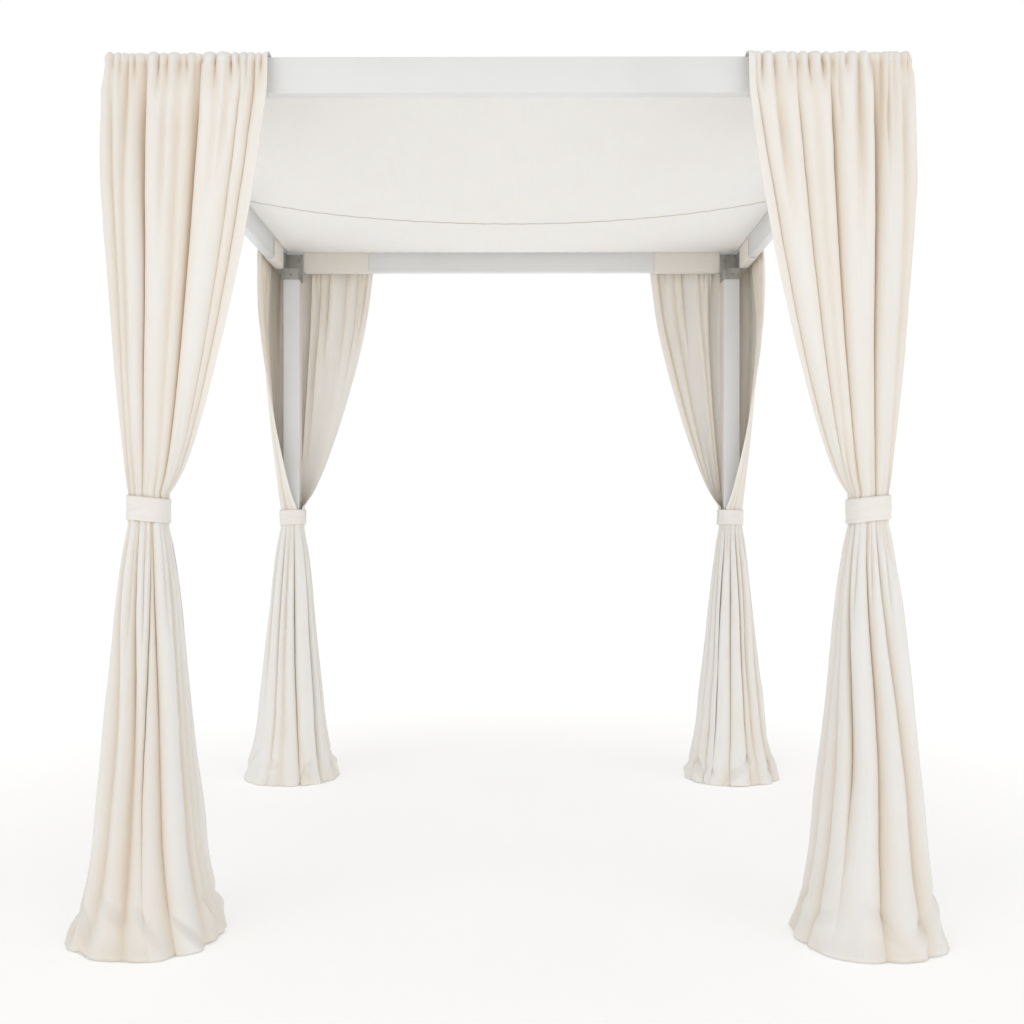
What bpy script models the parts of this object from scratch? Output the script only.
# White square garden pergola with a sagging cloth canopy and a tied curtain at each corner.
#
# The frame stands on its four posts with its base at z = 0 and its middle on the z axis.
# Front is towards -Y and +X is to the right. All sizes are in metres.

import math

import bmesh
import bpy
from mathutils import Vector

# Driving dimensions of the frame
FRAME_WIDTH = 2.40
FRAME_DEPTH = 2.40
FRAME_HEIGHT = 2.70
BEAM_THICKNESS = 0.040
BEAM_HEIGHT = 0.110
POST_SIDE = 0.080

# Corner brackets
PLATE_THICKNESS = 0.004
BRACKET_ARM = 0.085
BRACKET_RISE = 0.088
COLLAR_DEPTH = 0.052

# Cloth
CLOTH_THICKNESS = 0.003
HEADER_RISE = 0.010
GATHER_BULK = 0.045
WING_REACH_FRONT = 0.475
WING_REACH_SIDE = 0.350
POST_CLEARANCE = 0.003
BUNDLE_THICKNESS = 0.010
BUNDLE_SQUARENESS = 3.4
BORE_SQUARENESS = 4.0
SKIRT_RADIUS = 0.250
SKIRT_SQUARENESS = 2.1

# Tie bands
TIE_CENTRE_HEIGHT = 1.325
TIE_HEIGHT = 0.078
TIE_THICKNESS = 0.005
TIE_MARGIN = 0.012

# Canopy
CANOPY_THICKNESS = 0.005
CANOPY_DROP = 0.011
CANOPY_SAG = 0.105
CANOPY_FIRST_PANEL = 1.40
CANOPY_CELLS = 12
CANOPY_FULLNESS = 2.2

# Gap kept between faces that touch
SEAT_GAP = 0.0003

# A header sleeve reaches this far past the gathers at a curtain's free edge
SLEEVE_LAP = 0.010

# How a curtain is drawn in below the beam: share of the drop, share of the gathering
DRAPE_STEPS = (
    (0.0, 0.0),
    (0.16, 0.09),
    (0.36, 0.24),
    (0.56, 0.40),
    (0.74, 0.55),
    (0.87, 0.68),
    (0.95, 0.82),
    (1.0, 1.0),
)

# How the skirt opens below the tie: share of the height left, share of the flare
SKIRT_STEPS = (
    (1.0, 0.0),
    (0.84, 0.17),
    (0.55, 0.34),
    (0.27, 0.58),
    (0.10, 0.80),
    (0.03, 0.95),
    (0.0, 1.0),
)

# Half angle that the bundle wraps round the post, at the tie and at the floor
WRAP_AT_TIE = math.radians(165)
WRAP_AT_FLOOR = math.radians(176)

# Direction of a corner's outer diagonal, seen from above at the front left corner
OUTWARD = math.radians(225)

# Points along half of a curtain's outer and inner lines, and round its outer corner
OUTER_STEPS = 11
INNER_STEPS = 8
CORNER_STEPS = 3

# Places worked out from the sizes above
BEAM_UNDERSIDE = FRAME_HEIGHT - BEAM_HEIGHT
POST_INSET = BEAM_THICKNESS + POST_SIDE / 2
POST_X = FRAME_WIDTH / 2 - POST_INSET
POST_Y = FRAME_DEPTH / 2 - POST_INSET
SHELF_TOP = BEAM_UNDERSIDE - SEAT_GAP
POST_HEIGHT = SHELF_TOP - PLATE_THICKNESS - SEAT_GAP
INNER_HALF_WIDTH = FRAME_WIDTH / 2 - BEAM_THICKNESS
INNER_HALF_DEPTH = FRAME_DEPTH / 2 - BEAM_THICKNESS
COLLAR_HALF = POST_SIDE / 2 + SEAT_GAP + PLATE_THICKNESS
BRACKET_FACE = BEAM_THICKNESS - POST_INSET + SEAT_GAP
SLEEVE_BUILD_UP = SEAT_GAP + CLOTH_THICKNESS + SEAT_GAP
TIE_TOP = TIE_CENTRE_HEIGHT + TIE_HEIGHT / 2
TIE_BOTTOM = TIE_CENTRE_HEIGHT - TIE_HEIGHT / 2
BUNDLE_BORE = (POST_SIDE / 2 + POST_CLEARANCE) * 2 ** (1 / BORE_SQUARENESS)
BUNDLE_HALF = BUNDLE_BORE + BUNDLE_THICKNESS

# Corner names with the side of the frame that each stands on
CORNERS = {
    "front_left": (-1, -1),
    "front_right": (1, -1),
    "back_left": (-1, 1),
    "back_right": (1, 1),
}


def clear_scene():
    """Remove every object that is in the scene."""
    for old in list(bpy.data.objects):
        bpy.data.objects.remove(old, do_unlink=True)


def make_material(name, colour, roughness, metallic):
    """Return a Principled material of one colour."""
    material = bpy.data.materials.new(name)
    material.use_nodes = True
    shader = material.node_tree.nodes["Principled BSDF"]
    shader.inputs["Base Color"].default_value = (*colour, 1.0)
    shader.inputs["Roughness"].default_value = roughness
    shader.inputs["Metallic"].default_value = metallic
    return material


def add_object(name, bm, material, location=(0.0, 0.0, 0.0)):
    """Turn a bmesh into a named object at its place."""
    bmesh.ops.recalc_face_normals(bm, faces=bm.faces)
    mesh = bpy.data.meshes.new(name)
    bm.to_mesh(mesh)
    bm.free()
    mesh.materials.append(material)
    made = bpy.data.objects.new(name, mesh)
    made.location = location
    bpy.context.scene.collection.objects.link(made)
    return made


def box_mesh(low, high):
    """Return a bmesh of the box between two corners."""
    low, high = Vector(low), Vector(high)
    bm = bmesh.new()
    bmesh.ops.create_cube(bm, size=1.0)
    bmesh.ops.scale(bm, vec=high - low, verts=bm.verts)
    bmesh.ops.translate(bm, vec=(low + high) / 2, verts=bm.verts)
    return bm


def mirror_to_corner(bm, sides):
    """Turn a mesh modelled for the front left corner into the one for another corner."""
    bmesh.ops.scale(bm, vec=(-sides[0], -sides[1], 1.0), verts=bm.verts)


def extruded_outline(points, vector):
    """Return a bmesh of a flat outline swept along a vector."""
    bm = bmesh.new()
    face = bm.faces.new([bm.verts.new(point) for point in points])
    swept = bmesh.ops.extrude_face_region(bm, geom=[face])
    moved = [item for item in swept["geom"] if isinstance(item, bmesh.types.BMVert)]
    bmesh.ops.translate(bm, vec=vector, verts=moved)
    return bm


def lofted(outlines):
    """Return a bmesh skinned through closed outlines of equal length, with both ends closed."""
    bm = bmesh.new()
    rings = [[bm.verts.new(point) for point in outline] for outline in outlines]
    for upper, lower in zip(rings, rings[1:]):
        for index, start in enumerate(upper):
            after = (index + 1) % len(upper)
            bm.faces.new((start, upper[after], lower[after], lower[index]))
    bm.faces.new(rings[0])
    bm.faces.new(rings[-1])
    return bm


def rounded_radius(half, squareness, angle):
    """Return the radius at an angle of a square with soft corners; a squareness of 2 is a circle."""
    spread = abs(math.cos(angle)) ** squareness + abs(math.sin(angle)) ** squareness
    return half / spread ** (1 / squareness)


def add_post(name, sides, material):
    """Stand a square post in its corner."""
    half = POST_SIDE / 2
    bm = box_mesh((-half, -half, 0.0), (half, half, POST_HEIGHT))
    add_object(name, bm, material, (sides[0] * POST_X, sides[1] * POST_Y, 0.0))


def add_beams(material):
    """Lay the four beams, the side ones between the front and the back one."""
    half = BEAM_THICKNESS / 2
    side_half = INNER_HALF_DEPTH - SEAT_GAP
    for name, side in (("front_beam", -1), ("back_beam", 1)):
        bm = box_mesh((-FRAME_WIDTH / 2, -half, 0.0), (FRAME_WIDTH / 2, half, BEAM_HEIGHT))
        add_object(name, bm, material, (0.0, side * (FRAME_DEPTH / 2 - half), BEAM_UNDERSIDE))
    for name, side in (("left_beam", -1), ("right_beam", 1)):
        bm = box_mesh((-half, -side_half, 0.0), (half, side_half, BEAM_HEIGHT))
        add_object(name, bm, material, (side * (FRAME_WIDTH / 2 - half), 0.0, BEAM_UNDERSIDE))


def add_modifier_body(target, bm, operation, name):
    """Join a body to the target, or cut it out of the target, with a Boolean modifier."""
    body = add_object(name, bm, target.data.materials[0], target.location)
    body.hide_render = True
    body.display_type = "WIRE"
    boolean = target.modifiers.new(name, "BOOLEAN")
    boolean.operation = operation
    boolean.solver = "EXACT"
    boolean.object = body


def add_bracket(name, sides, material):
    """Make a corner bracket: a cap over the post with a plate up each beam's inner face."""
    overlap = PLATE_THICKNESS / 2
    low = (-COLLAR_HALF, -COLLAR_HALF, SHELF_TOP - PLATE_THICKNESS - COLLAR_DEPTH)
    bracket = box_mesh(low, (COLLAR_HALF, COLLAR_HALF, SHELF_TOP))
    place = (sides[0] * POST_X, sides[1] * POST_Y, 0.0)
    made = add_object(name, bracket, material, place)

    bore = POST_SIDE / 2 + SEAT_GAP
    cavity = box_mesh((-bore, -bore, low[2] - PLATE_THICKNESS), (bore, bore, SHELF_TOP - PLATE_THICKNESS))
    add_modifier_body(made, cavity, "DIFFERENCE", name + "_bore")

    face = BRACKET_FACE
    reach = face + BRACKET_ARM
    plate_base = SHELF_TOP - overlap
    plate_top = SHELF_TOP + BRACKET_RISE
    corner = [
        (face, face, plate_base),
        (reach, face, plate_base),
        (reach, face + PLATE_THICKNESS, plate_base),
        (face + PLATE_THICKNESS, face + PLATE_THICKNESS, plate_base),
        (face + PLATE_THICKNESS, reach, plate_base),
        (face, reach, plate_base),
    ]
    plates = extruded_outline(corner, (0.0, 0.0, plate_top - plate_base))
    mirror_to_corner(plates, sides)
    add_modifier_body(made, plates, "UNION", name + "_plates")


def wing_outline(reach, offset, steps, swap, rounded):
    """Return one wing of a curtain at the beams, from the corner to its free edge, as plan points."""
    face = -POST_INSET - SLEEVE_BUILD_UP
    points = []
    if rounded:
        for step in range(CORNER_STEPS):
            angle = OUTWARD + math.pi / 4 * step / CORNER_STEPS
            points.append((face + offset * math.cos(angle), face + offset * math.sin(angle)))
    straight = steps - len(points)
    for step in range(straight):
        along = face + (reach + SLEEVE_BUILD_UP) * step / (straight - 1)
        points.append((along, face - offset))
    return [(y, x) for x, y in points] if swap else points


def ring_outline(half, squareness, wrap, steps, swap):
    """Return one half of the bundle round the post, from the outer diagonal to its free edge."""
    points = []
    for step in range(steps):
        angle = OUTWARD + wrap * step / (steps - 1)
        radius = rounded_radius(half, squareness, angle)
        points.append((radius * math.cos(angle), radius * math.sin(angle)))
    return [(y, x) for x, y in points] if swap else points


def closed_outline(front_outer, front_inner, side_outer, side_inner, height):
    """Join the two wings' outer and inner lines into one closed outline at a height."""
    plan = side_outer[:0:-1] + front_outer + front_inner[::-1] + side_inner[1:]
    return [(x, y, height) for x, y in plan]


def mixed(start, end, share):
    """Return points that lie a share of the way from one line of points to another."""
    return [
        (a[0] + (b[0] - a[0]) * share, a[1] + (b[1] - a[1]) * share)
        for a, b in zip(start, end)
    ]


def curtain_outline(height, share):
    """Return a curtain's outline, flat on the beams at a share of 0 and round the post at 1."""
    lines = []
    for reach, swap in ((WING_REACH_FRONT, False), (WING_REACH_SIDE, True)):
        for offset, steps, half, squareness in (
            (GATHER_BULK, OUTER_STEPS, BUNDLE_HALF, BUNDLE_SQUARENESS),
            (0.0, INNER_STEPS, BUNDLE_BORE, BORE_SQUARENESS),
        ):
            wing = wing_outline(reach, offset, steps, swap, offset > 0)
            ring = ring_outline(half, squareness, WRAP_AT_TIE, steps, swap)
            lines.append(mixed(wing, ring, share))
    return closed_outline(*lines, height)


def skirt_outline(height, share):
    """Return a curtain's outline below its tie, opened by a share of the flare."""
    wrap = WRAP_AT_TIE + (WRAP_AT_FLOOR - WRAP_AT_TIE) * share
    half = BUNDLE_HALF + (SKIRT_RADIUS - BUNDLE_HALF) * share
    squareness = BUNDLE_SQUARENESS + (SKIRT_SQUARENESS - BUNDLE_SQUARENESS) * share
    lines = []
    for swap in (False, True):
        lines.append(ring_outline(half, squareness, wrap, OUTER_STEPS, swap))
        lines.append(ring_outline(BUNDLE_BORE, BORE_SQUARENESS, wrap, INNER_STEPS, swap))
    return closed_outline(*lines, height)


def add_curtain(name, sides, material):
    """Hang a curtain outside a corner, gather it round the post at its tie and let it flare."""
    outlines = [curtain_outline(FRAME_HEIGHT + HEADER_RISE, 0.0)]
    tie_entry = TIE_TOP + TIE_MARGIN
    drop = BEAM_UNDERSIDE - tie_entry
    for fallen, share in DRAPE_STEPS:
        outlines.append(curtain_outline(BEAM_UNDERSIDE - drop * fallen, share))
    tie_exit = TIE_BOTTOM - TIE_MARGIN
    for left, share in SKIRT_STEPS:
        outlines.append(skirt_outline(tie_exit * left, share))
    bm = lofted(outlines)
    mirror_to_corner(bm, sides)
    add_object(name, bm, material, (sides[0] * POST_X, sides[1] * POST_Y, 0.0))


def ring_prism(inner, outer, vector):
    """Return a bmesh of a tube with the given inner and outer outline, swept along a vector."""
    bm = bmesh.new()
    swept = Vector(vector)
    loops = [
        [bm.verts.new(point) for point in inner],
        [bm.verts.new(point) for point in outer],
        [bm.verts.new(Vector(point) + swept) for point in outer],
        [bm.verts.new(Vector(point) + swept) for point in inner],
    ]
    for index, loop in enumerate(loops):
        following = loops[(index + 1) % len(loops)]
        for step, start in enumerate(loop):
            after = (step + 1) % len(loop)
            bm.faces.new((start, loop[after], following[after], following[step]))
    return bm


def tie_outline(offset):
    """Return the tie's outline at a distance outside the gathered curtain."""
    half_turn = [WRAP_AT_TIE * step / (OUTER_STEPS - 1) for step in range(OUTER_STEPS)]
    turns = [-turn for turn in reversed(half_turn)] + half_turn[1:] + [math.pi]
    outline = []
    for turn in turns:
        angle = OUTWARD + turn
        radius = rounded_radius(BUNDLE_HALF, BUNDLE_SQUARENESS, angle) + offset
        outline.append((radius * math.cos(angle), radius * math.sin(angle), TIE_BOTTOM))
    return outline


def add_tie(name, sides, material):
    """Wrap a cloth band round a gathered curtain and its post."""
    clearance = 2 * SEAT_GAP
    inner, outer = tie_outline(clearance), tie_outline(clearance + TIE_THICKNESS)
    bm = ring_prism(inner, outer, (0.0, 0.0, TIE_HEIGHT))
    mirror_to_corner(bm, sides)
    add_object(name, bm, material, (sides[0] * POST_X, sides[1] * POST_Y, 0.0))


def sleeve_outline(offset, start, along_x):
    """Return the rectangle at a distance outside a beam, as seen along the beam."""
    outer_face, inner_face = -POST_INSET - offset, BEAM_THICKNESS - POST_INSET + offset
    bottom, top = BEAM_UNDERSIDE - offset, FRAME_HEIGHT + offset
    corners = [(outer_face, bottom), (inner_face, bottom), (inner_face, top), (outer_face, top)]
    if along_x:
        return [(start, across, height) for across, height in corners]
    return [(across, start, height) for across, height in corners]


def add_sleeve(name, sides, along_x, material):
    """Pass a curtain's header sleeve over a beam, from the bracket to the curtain's free edge."""
    reach = WING_REACH_FRONT if along_x else WING_REACH_SIDE
    start = BRACKET_FACE + BRACKET_ARM + SEAT_GAP
    length = reach + SLEEVE_LAP - POST_INSET - start
    inner = sleeve_outline(SEAT_GAP, start, along_x)
    outer = sleeve_outline(SEAT_GAP + CLOTH_THICKNESS, start, along_x)
    vector = (length, 0.0, 0.0) if along_x else (0.0, length, 0.0)
    bm = ring_prism(inner, outer, vector)
    mirror_to_corner(bm, sides)
    add_object(name, bm, material, (sides[0] * POST_X, sides[1] * POST_Y, 0.0))


def canopy_sag(x, y):
    """Return how far the canopy hangs below its edges at a place in plan."""
    seam = -INNER_HALF_DEPTH + CANOPY_FIRST_PANEL
    edge = INNER_HALF_DEPTH if y > seam else -INNER_HALF_DEPTH
    across = 1 - abs(x / INNER_HALF_WIDTH) ** CANOPY_FULLNESS
    along = 1 - abs((y - seam) / (edge - seam)) ** CANOPY_FULLNESS
    return CANOPY_SAG * across * along


def add_canopy(material):
    """Hang the canopy between the beams' inner faces, just below their tops."""
    half_x = INNER_HALF_WIDTH - SLEEVE_BUILD_UP
    half_y = INNER_HALF_DEPTH - SLEEVE_BUILD_UP
    bm = bmesh.new()
    bmesh.ops.create_grid(bm, x_segments=CANOPY_CELLS, y_segments=CANOPY_CELLS, size=1.0)
    for vert in bm.verts:
        x, y = vert.co.x * half_x, vert.co.y * half_y
        vert.co = Vector((x, y, FRAME_HEIGHT - CANOPY_DROP - canopy_sag(x, y)))
    sheet = bmesh.ops.extrude_face_region(bm, geom=list(bm.faces))
    raised = [item for item in sheet["geom"] if isinstance(item, bmesh.types.BMVert)]
    bmesh.ops.translate(bm, vec=(0.0, 0.0, CANOPY_THICKNESS), verts=raised)
    add_object("canopy", bm, material)


def build():
    """Make every piece of the pergola."""
    clear_scene()
    paint = make_material("white_paint", (0.87, 0.87, 0.86), 0.42, 0.0)
    zinc = make_material("galvanised_steel", (0.48, 0.49, 0.47), 0.45, 0.85)
    curtain_cloth = make_material("ivory_curtain_cloth", (0.83, 0.78, 0.69), 0.9, 0.0)
    canopy_cloth = make_material("canopy_cloth", (0.85, 0.83, 0.79), 0.85, 0.0)

    add_beams(paint)
    for corner, sides in CORNERS.items():
        front_word = corner.split("_")[0]
        add_post("post_" + corner, sides, paint)
        add_bracket("bracket_" + corner, sides, zinc)
        add_curtain("curtain_" + corner, sides, curtain_cloth)
        add_tie("tie_band_" + corner, sides, curtain_cloth)
        add_sleeve(f"header_{corner}_{front_word}", sides, True, curtain_cloth)
        add_sleeve(f"header_{corner}_side", sides, False, curtain_cloth)
    add_canopy(canopy_cloth)


build()
